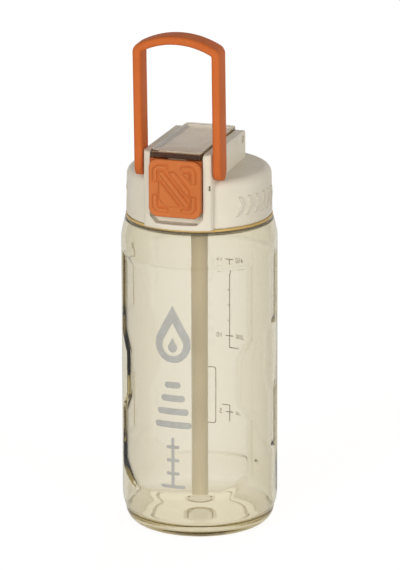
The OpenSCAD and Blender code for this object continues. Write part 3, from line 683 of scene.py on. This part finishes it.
def cover_insert():
    """The plate that shows through the clear tray: a rounded rectangle with framed, stepped fields.

    Height over the plate = small steps and grooves, each an S curve of the distance to its outline."""
    x0, x1 = edge("cover_shell", 0, 0) + 0.5, edge("cover_shell", 0, 1) - 0.5
    y0, y1 = edge("cover_shell", 1, 0) + 0.5, edge("cover_shell", 1, 1) - 0.5
    top = edge("cover_shell", 2, 1) - 0.85
    low = edge("cover_shell", 2, 1) - 1.45
    cols, rows = 110, 230
    x = np.linspace(x0, x1, cols)
    y = np.linspace(y0, y1, rows)
    gy, gx = np.meshgrid(y, x, indexing="ij")
    margin = bar_shape(x0 + 1.5, x1 - 1.5, y0 + 3.4, y1 - 2.0, 1.6)(gx, gy)
    window = bar_shape(x0 + 3.4, x1 - 3.4, -3.5, y1 - 5.0, 1.2)(gx, gy)
    inner = bar_shape(x0 + 4.4, x1 - 4.4, -2.5, y1 - 6.0, 0.9)(gx, gy)
    front = bar_shape(x0 + 3.4, x1 - 3.4, y0 + 5.4, -11.5, 1.2)(gx, gy)
    notch = bar_shape(x0 + 1.5, x0 + 3.2, y0 + 9, y0 + 11.2, 0.3)(gx, gy)
    notch = np.minimum(notch, bar_shape(x1 - 3.2, x1 - 1.5, y0 + 9, y0 + 11.2, 0.3)(gx, gy))
    h = sum(rise * smoothstep(0.5 - field / 0.4) for rise, field in (
        (-0.2, margin), (-0.25, window), (0.25, inner), (-0.2, front), (-0.2, notch)))
    face = np.stack([gx, gy, top + h], -1)
    rim = np.concatenate([face[0], face[1:, -1], face[-1, -2::-1], face[-2:0:-1, 0]])
    under = rim * [1, 1, 0] + [0, 0, low]
    middle = under * 0 + [(x0 + x1) / 2, (y0 + y1) / 2, low]
    skirt = np.concatenate([rim, under, middle])
    points = np.concatenate([face.reshape(-1, 3), skirt])
    top_faces = grid_faces(rows, cols, wrap_cols=False)
    skirt_faces = grid_faces(3, len(rim), flip=True) + face.shape[0] * face.shape[1]
    faces = np.concatenate([top_faces, skirt_faces])
    return merged(piece_from("cover_insert", points, faces, "cover"))


# ---------- materials ----------

def add(tree, kind, at, **settings):
    """A shader node at a place, with its settings."""
    made = tree.nodes.new("ShaderNode" + kind)
    made.location = at
    for name, value in settings.items():
        setattr(made, name, value)
    return made


def link(tree, a, a_out, b, b_in):
    """Joins one node's output to another's input."""
    tree.links.new(a.outputs[a_out], b.inputs[b_in])


def linear(hex_colour):
    """A colour written as six hex digits, as the linear values that the shader takes."""
    c = np.array([int(hex_colour[i:i + 2], 16) / 255 for i in (1, 3, 5)])
    c = np.where(c <= 0.04045, c / 12.92, ((c + 0.055) / 1.055) ** 2.4)
    return (*[float(v) for v in c], 1.0)


def new_group(name, inputs, outputs):
    """An empty shader node group with named inputs, each with its own default, and outputs."""
    group = bpy.data.node_groups.new(name, "ShaderNodeTree")
    for label, kind, value in inputs:
        socket = group.interface.new_socket(label, in_out="INPUT", socket_type="NodeSocket" + kind)
        socket.default_value = value
    for label, kind in outputs:
        group.interface.new_socket(label, in_out="OUTPUT", socket_type="NodeSocket" + kind)
    return group, group.nodes.new("NodeGroupInput"), group.nodes.new("NodeGroupOutput")


def moulded_group():
    """Moulded plastic: a faint cloudy tone, fine satin grain, and a roughness that wanders."""
    group, start, end = new_group(
        "moulded_plastic",
        [("Colour", "Color", (0.8, 0.8, 0.8, 1)), ("Cloud Colour", "Color", (0.7, 0.7, 0.7, 1)),
         ("Cloud Scale", "Float", 40.0), ("Grain Scale", "Float", 4000.0),
         ("Roughness", "Float", 0.4), ("Roughness Spread", "Float", 0.12)],
        [("Colour", "Color"), ("Roughness", "Float"), ("Height", "Float")])
    place = add(group, "TexCoord", (-900, 0))
    cloud = add(group, "TexNoise", (-700, 200))
    cloud.inputs["Detail"].default_value = 3
    grain = add(group, "TexNoise", (-700, -200))
    grain.inputs["Detail"].default_value = 4
    grain.inputs["Roughness"].default_value = 0.6
    link(group, place, "Object", cloud, "Vector")
    link(group, place, "Object", grain, "Vector")
    link(group, start, "Cloud Scale", cloud, "Scale")
    link(group, start, "Grain Scale", grain, "Scale")
    spread = add(group, "MapRange", (-450, 200))
    spread.inputs["From Min"].default_value = 0.35
    spread.inputs["From Max"].default_value = 0.65
    link(group, cloud, "Fac", spread, "Value")
    mix = add(group, "Mix", (-200, 200), data_type="RGBA")
    link(group, spread, "Result", mix, "Factor")
    group.links.new(start.outputs["Colour"], mix.inputs[6])
    group.links.new(start.outputs["Cloud Colour"], mix.inputs[7])
    centred = add(group, "Math", (-450, -60), operation="SUBTRACT")
    centred.inputs[1].default_value = 0.5
    link(group, grain, "Fac", centred, 0)
    both = add(group, "Math", (-250, -20), operation="ADD")
    link(group, centred, 0, both, 0)
    shifted = add(group, "Math", (-250, 60), operation="SUBTRACT")
    shifted.inputs[1].default_value = 0.5
    link(group, cloud, "Fac", shifted, 0)
    link(group, shifted, 0, both, 1)
    rough = add(group, "Math", (-60, -40), operation="MULTIPLY_ADD")
    link(group, both, 0, rough, 0)
    link(group, start, "Roughness Spread", rough, 1)
    link(group, start, "Roughness", rough, 2)
    group.links.new(mix.outputs[2], end.inputs["Colour"])
    link(group, rough, 0, end, "Roughness")
    link(group, grain, "Fac", end, "Height")
    return group


def ripple_group():
    """Blown clear plastic: slow ripples stretched upright, and faint smudges."""
    group, start, end = new_group(
        "blown_clear",
        [("Colour", "Color", (1, 1, 1, 1)), ("Deep Colour", "Color", (0.9, 0.85, 0.7, 1)),
         ("Ripple Scale", "Float", 60.0), ("Roughness", "Float", 0.03), ("Roughness Spread", "Float", 0.03)],
        [("Colour", "Color"), ("Roughness", "Float"), ("Height", "Float")])
    place = add(group, "TexCoord", (-1100, 0))
    stretch = add(group, "Mapping", (-900, 0))
    stretch.inputs["Scale"].default_value = (1, 1, 0.28)
    link(group, place, "Object", stretch, "Vector")
    ripple = add(group, "TexNoise", (-700, 200))
    ripple.inputs["Detail"].default_value = 2
    ripple.inputs["Roughness"].default_value = 0.45
    link(group, stretch, "Vector", ripple, "Vector")
    link(group, start, "Ripple Scale", ripple, "Scale")
    smudge = add(group, "TexNoise", (-700, -200))
    smudge.inputs["Scale"].default_value = 90
    smudge.inputs["Detail"].default_value = 5
    link(group, place, "Object", smudge, "Vector")
    mask = add(group, "MapRange", (-480, -200))
    mask.inputs["From Min"].default_value = 0.5
    mask.inputs["From Max"].default_value = 0.75
    link(group, smudge, "Fac", mask, "Value")
    rough = add(group, "Math", (-250, -200), operation="MULTIPLY_ADD")
    link(group, mask, "Result", rough, 0)
    link(group, start, "Roughness Spread", rough, 1)
    link(group, start, "Roughness", rough, 2)
    mix = add(group, "Mix", (-250, 200), data_type="RGBA")
    link(group, ripple, "Fac", mix, "Factor")
    group.links.new(start.outputs["Colour"], mix.inputs[6])
    group.links.new(start.outputs["Deep Colour"], mix.inputs[7])
    group.links.new(mix.outputs[2], end.inputs["Colour"])
    link(group, rough, 0, end, "Roughness")
    link(group, ripple, "Fac", end, "Height")
    return group


def new_material(name):
    """An empty material with its Principled shader and output."""
    material = bpy.data.materials.new(name)
    material.use_nodes = True
    tree = material.node_tree
    shader = tree.nodes["Principled BSDF"]
    output = tree.nodes["Material Output"]
    return material, tree, shader, output


def set_group(tree, group, at, **values):
    """Places a group in a material and sets its inputs by name."""
    placed = tree.nodes.new("ShaderNodeGroup")
    placed.node_tree = group
    placed.location = at
    for name, value in values.items():
        placed.inputs[name.replace("_", " ")].default_value = value
    return placed


def moulded(name, colour, cloud, rough, spread=0.12, grain=4000.0, bump=0.12, edge_r=0.0,
            cloud_scale=40.0, gloss=0.35, soak=0.0):
    """Moulded plastic, optionally with softened edges and light that soaks in a little."""
    material, tree, shader, output = new_material(name)
    placed = set_group(tree, moulded_plastic, (-400, 100), Colour=linear(colour), Cloud_Colour=linear(cloud),
                       Roughness=rough, Roughness_Spread=spread, Grain_Scale=grain, Cloud_Scale=cloud_scale)
    link(tree, placed, "Colour", shader, "Base Color")
    link(tree, placed, "Roughness", shader, "Roughness")
    relief = add(tree, "Bump", (-180, -220))
    relief.inputs["Strength"].default_value = bump
    relief.inputs["Distance"].default_value = 0.0002
    link(tree, placed, "Height", relief, "Height")
    if edge_r:
        soft = add(tree, "Bevel", (-400, -420), samples=6)
        soft.inputs["Radius"].default_value = edge_r * MM
        link(tree, soft, "Normal", relief, "Normal")
    link(tree, relief, "Normal", shader, "Normal")
    shader.inputs["Specular IOR Level"].default_value = gloss
    shader.inputs["Transmission Weight"].default_value = soak
    return material


def clear(name, tint, deep, shade, soak, density, rough, spread, ripple, rim, ior=1.5, bump=0.15,
          side=None):
    """Clear tinted plastic: it bends light, the colour deepens with thickness and towards grazing faces.

    side is (colour, top, fade): below top, in millimetres, the tint goes over to that colour. This is partly
    painted light: the top is kept pale for the light it catches, and the sides take the cover's deeper
    amber."""
    material, tree, shader, output = new_material(name)
    placed = set_group(tree, blown_clear, (-700, 100), Colour=linear(tint), Deep_Colour=linear(deep),
                       Ripple_Scale=ripple, Roughness=rough, Roughness_Spread=spread)
    # Painted shade: towards grazing faces the colour goes over to the rim colour, darkening the edges.
    painted_graze_shade = add(tree, "LayerWeight", (-700, 420))
    painted_graze_shade.inputs["Blend"].default_value = 0.35
    tinted = add(tree, "Mix", (-350, 250), data_type="RGBA")
    link(tree, painted_graze_shade, "Facing", tinted, "Factor")
    tree.links.new(placed.outputs["Colour"], tinted.inputs[6])
    tinted.inputs[7].default_value = linear(rim)
    last = tinted
    # Partly painted light: pale tint on the top, the cover's deeper amber below it.
    if side:
        colour, top, fade = side
        place = add(tree, "TexCoord", (-1100, 600))
        split = add(tree, "SeparateXYZ", (-900, 600))
        below = add(tree, "MapRange", (-700, 600), interpolation_type="SMOOTHSTEP")
        below.inputs["From Min"].default_value = top * MM
        below.inputs["From Max"].default_value = (top - fade) * MM
        link(tree, place, "Object", split, 0)
        link(tree, split, "Z", below, "Value")
        last = add(tree, "Mix", (-150, 350), data_type="RGBA")
        link(tree, below, "Result", last, "Factor")
        tree.links.new(tinted.outputs[2], last.inputs[6])
        last.inputs[7].default_value = linear(colour)
    tree.links.new(last.outputs[2], shader.inputs["Base Color"])
    link(tree, placed, "Roughness", shader, "Roughness")
    relief = add(tree, "Bump", (-180, -220))
    relief.inputs["Strength"].default_value = bump
    relief.inputs["Distance"].default_value = 0.001
    link(tree, placed, "Height", relief, "Height")
    link(tree, relief, "Normal", shader, "Normal")
    shader.inputs["Transmission Weight"].default_value = 1.0
    shader.inputs["IOR"].default_value = ior
    through = add(tree, "BsdfTransparent", (100, -200))
    through.inputs["Color"].default_value = linear(shade)
    path = add(tree, "LightPath", (-100, 400))
    mix = add(tree, "MixShader", (350, 100))
    link(tree, path, "Is Shadow Ray", mix, 0)
    link(tree, shader, "BSDF", mix, 1)
    link(tree, through, "BSDF", mix, 2)
    link(tree, mix, "Shader", output, "Surface")
    volume = add(tree, "VolumeAbsorption", (350, -150))
    volume.inputs["Color"].default_value = (*soak, 1)
    volume.inputs["Density"].default_value = density
    link(tree, volume, "Volume", output, "Volume")
    output.location = (600, 100)
    return material


def drawn_steel(name):
    """Drawn steel wire and pins: bright, with a fine grain in colour and roughness."""
    material, tree, shader, output = new_material(name)
    placed = set_group(tree, moulded_plastic, (-400, 100), Colour=linear("#B9BBBD"),
                       Cloud_Colour=linear("#9FA1A3"), Roughness=0.28, Roughness_Spread=0.2,
                       Grain_Scale=2500.0, Cloud_Scale=300.0)
    link(tree, placed, "Colour", shader, "Base Color")
    link(tree, placed, "Roughness", shader, "Roughness")
    shader.inputs["Metallic"].default_value = 1.0
    return material


def printed_ink(name, colour, cloud):
    """Pad-printed ink: flat and slightly uneven in cover."""
    return moulded(name, colour, cloud, 0.55, 0.15, 1800.0, 0.2, cloud_scale=400.0)


moulded_plastic = moulded_group()
blown_clear = ripple_group()


def dress(piece, material):
    """Gives a piece or a CAD node this one material."""
    piece.data.materials.clear()
    piece.data.materials.append(material)


# ---------- making and dressing everything ----------

# The last colour given to each clear material is its painted edge shade at grazing faces.
wall_clear = clear("clear_straw_tint", "#F8F5EE", "#F5F2E8", "#F4ECD8", (0.70, 0.63, 0.36), 85.0,
                   0.02, 0.04, 45.0, "#C6C0AE", bump=0.25)
# The side colour is the cover's amber; the pale top tint is painted light.
cover_clear = clear("clear_amber_tint", "#FFFDF8", "#F6F0E4", "#E8D2A6", (0.6, 0.42, 0.1), 90.0, 0.06, 0.1,
                    60.0, "#EFE6D2", side=("#9A7426", edge("cover_shell", 2, 1) - 0.5, 0.7))
lid_ivory = moulded("ivory_satin", "#E8DFCB", "#E2D8C3", 0.45, edge_r=0.8, bump=0.1)
inner_ivory = moulded("natural_plastic", "#DDD5C4", "#D3CAB8", 0.5, edge_r=0.25)
cover_ivory = moulded("cover_plate", "#DCD2C0", "#D2C7B3", 0.5, edge_r=0.3)
handle_orange = moulded("orange_satin", "#D06D36", "#CA6831", 0.55, bump=0.1, gloss=0.15)
pad_orange = moulded("orange_pad", "#CF773F", "#C97039", 0.5, bump=0.15, gloss=0.25)
# Painted shade: the latch is the pad's orange made darker, for the shade in the gap under the pad.
shaded_latch_orange = moulded("orange_latch_in_shade", "#B05A2A", "#A45224", 0.5, edge_r=0.3)
straw_cloudy = moulded("straw_cloudy", "#F2ECDD", "#EBE3D1", 0.35, bump=0.05, soak=0.35)
silicone_ivory = moulded("silicone_ivory", "#E9E2D4", "#E2DACA", 0.6, 0.1, 3000.0, 0.1)
ring_red = moulded("ring_orange", "#C07048", "#B26540", 0.55)
# Painted light: the golden glow of the clear wall's upper corner.
painted_rim_gold = moulded("painted_rim_gold", "#DDB96F", "#CDA65A", 0.3, gloss=0.5)
# Painted shade: the deep amber of the shaded liner as seen through the cover's wall.
painted_band_amber = moulded("painted_band_amber", "#8A6420", "#7A5618", 0.3, gloss=0.5)
steel = drawn_steel("drawn_steel")
grey_ink = printed_ink("grey_ink", "#BAB8B0", "#B2B0A7")
brown_ink = printed_ink("brown_ink", "#9A875F", "#8E7B55")

dress(clear_bottle(), wall_clear)
dress(front_design(), grey_ink)
dress(back_scale(), brown_ink)
for number in back_numbers():
    dress(number, brown_ink)
dress(straw_tube(), straw_cloudy)
dress(gasket_ring(), silicone_ivory)
dress(bail(), handle_orange)
dress(button_face(), pad_orange)
dress(clear_cover(), cover_clear)
dress(cover_insert(), cover_ivory)
# The painted golden light on the wall's upper corner.
dress(painted_rim_light(), painted_rim_gold)
# The painted shade band inside the cover's tray.
dress(painted_shade_band(), painted_band_amber)

for name, finish in (
        ("lid_body", lid_ivory), ("thread_liner", inner_ivory), ("straw_adapter", inner_ivory),
        ("adapter_o_ring", ring_red), ("spout", silicone_ivory), ("spout_collar", inner_ivory),
        ("vent_valve", silicone_ivory), ("cover_liner", cover_ivory), ("spout_plug", silicone_ivory),
        ("cover_hinge_pin", steel), ("cover_spring", steel), ("latch_button", shaded_latch_orange),
        ("button_spring", steel), ("handle_pin_left", steel), ("handle_pin_right", steel)):
    dress(nodes[name], finish)


# ---------- camera ----------

def place_camera(target, distance, azimuth, elevation, roll, long_side_pixels, focal_pixels, shift):
    """A camera on a sphere about the target. Azimuth turns from -Y towards +X."""
    a, e, t = (math.radians(v) for v in (azimuth, elevation, roll))
    away = Vector((math.sin(a) * math.cos(e), -math.cos(a) * math.cos(e), math.sin(e)))
    right = Vector((math.cos(a), math.sin(a), 0))
    up = away.cross(right)
    right, up = right * math.cos(t) + up * math.sin(t), up * math.cos(t) - right * math.sin(t)
    data = bpy.data.cameras.new("view_camera")
    data.sensor_width = 36
    data.lens = 36 * focal_pixels / long_side_pixels
    data.clip_end = 50
    data.shift_x, data.shift_y = (s / long_side_pixels for s in shift)
    camera = bpy.data.objects.new("view_camera", data)
    camera.matrix_world = Matrix((
        (right.x, up.x, away.x, target[0] + away.x * distance),
        (right.y, up.y, away.y, target[1] + away.y * distance),
        (right.z, up.z, away.z, target[2] + away.z * distance), (0, 0, 0, 1)))
    bpy.context.scene.collection.objects.link(camera)
    bpy.context.scene.camera = camera


place_camera((0, 0, 0.11686), 2.40449, 17.864, 15.937, -0.1465, 570, 5006.83, (0.46, 1.2))


# ---------- floor, light and background ----------

gloss_share = 0.4      # how much of the white background shows in gloss


def seen_white(tree):
    """One where the camera or clear plastic looks past the object, and a share of it in gloss."""
    path = add(tree, "LightPath", (-400, 300))
    seen = add(tree, "Math", (-200, 300), operation="MAXIMUM")
    link(tree, path, "Is Camera Ray", seen, 0)
    link(tree, path, "Is Transmission Ray", seen, 1)
    all_seen = add(tree, "Math", (0, 300), operation="MULTIPLY_ADD")
    link(tree, path, "Is Glossy Ray", all_seen, 0)
    all_seen.inputs[1].default_value = gloss_share
    link(tree, seen, 0, all_seen, 2)
    return all_seen


def white_floor():
    """A large white floor. Seen directly it is white with a faint shadow; for other light it is plain."""
    size = 9.0
    mesh = bpy.data.meshes.new("floor")
    corners = [(-size, -size, 0), (size, -size, 0), (size, size, 0), (-size, size, 0)]
    mesh.from_pydata(corners, [], [(0, 1, 2, 3)])
    floor = bpy.data.objects.new("floor", mesh)
    bpy.context.scene.collection.objects.link(floor)
    material, tree, shader, output = new_material("white_floor")
    tree.nodes.remove(shader)
    plain = add(tree, "BsdfDiffuse", (0, 100))
    plain.inputs["Color"].default_value = (0.8, 0.8, 0.8, 1)
    faint = add(tree, "BsdfDiffuse", (0, -50))
    faint.inputs["Color"].default_value = (0.3, 0.3, 0.3, 1)
    glow = add(tree, "Emission", (0, -200))
    glow.inputs["Strength"].default_value = 0.86
    both = add(tree, "AddShader", (200, -100))
    link(tree, faint, 0, both, 0)
    link(tree, glow, 0, both, 1)
    mix = add(tree, "MixShader", (400, 100))
    link(tree, seen_white(tree), 0, mix, 0)
    link(tree, plain, 0, mix, 1)
    link(tree, both, 0, mix, 2)
    link(tree, mix, 0, output, "Surface")
    dress(floor, material)


def studio_world(level, overhead):
    """Soft light from all sides, and white where the camera, glass or gloss looks past the object."""
    world = bpy.data.worlds.new("studio")
    bpy.context.scene.world = world
    world.use_nodes = True
    tree = world.node_tree
    tree.nodes.clear()
    output = add(tree, "OutputWorld", (600, 0))
    soft = add(tree, "Background", (0, 100))
    soft.inputs["Strength"].default_value = level
    place = add(tree, "TexCoord", (-800, 100))
    split = add(tree, "SeparateXYZ", (-600, 100))
    link(tree, place, "Generated", split, 0)
    rise = add(tree, "MapRange", (-400, 100), interpolation_type="SMOOTHSTEP")
    rise.inputs["From Min"].default_value = 0.05
    rise.inputs["From Max"].default_value = 0.9
    rise.inputs["To Min"].default_value = 1.0
    rise.inputs["To Max"].default_value = overhead
    link(tree, split, "Z", rise, "Value")
    link(tree, rise, "Result", soft, "Color")
    white = add(tree, "Background", (0, -100))
    white.inputs["Color"].default_value = (1, 1, 1, 1)
    white.inputs["Strength"].default_value = 1.0
    mix = add(tree, "MixShader", (300, 0))
    link(tree, seen_white(tree), 0, mix, 0)
    link(tree, soft, 0, mix, 1)
    link(tree, white, 0, mix, 2)
    link(tree, mix, 0, output, "Surface")


def soft_lamp(name, place, aim, size, power):
    """A square soft lamp that looks at a point."""
    data = bpy.data.lights.new(name, "AREA")
    data.shape = "SQUARE"
    data.size = size
    data.energy = power
    lamp = bpy.data.objects.new(name, data)
    lamp.visible_glossy = False
    lamp.visible_transmission = False
    lamp.location = place
    lamp.rotation_euler = (Vector(aim) - Vector(place)).to_track_quat("-Z", "Y").to_euler()
    bpy.context.scene.collection.objects.link(lamp)


white_floor()
studio_world(0.58, 0.3)
soft_lamp("key", (-0.5, -2.0, 0.6), (0, 0, 0.14), 1.0, 20)
soft_lamp("fill", (1.7, -1.1, 0.5), (0, 0, 0.14), 1.0, 13)
soft_lamp("back", (0.2, 1.7, 1.0), (0, 0, 0.14), 1.0, 6)

bpy.context.scene.view_settings.view_transform = "Standard"
bpy.context.scene.cycles.max_bounces = 32
bpy.context.scene.cycles.transmission_bounces = 32
bpy.context.scene.cycles.glossy_bounces = 16
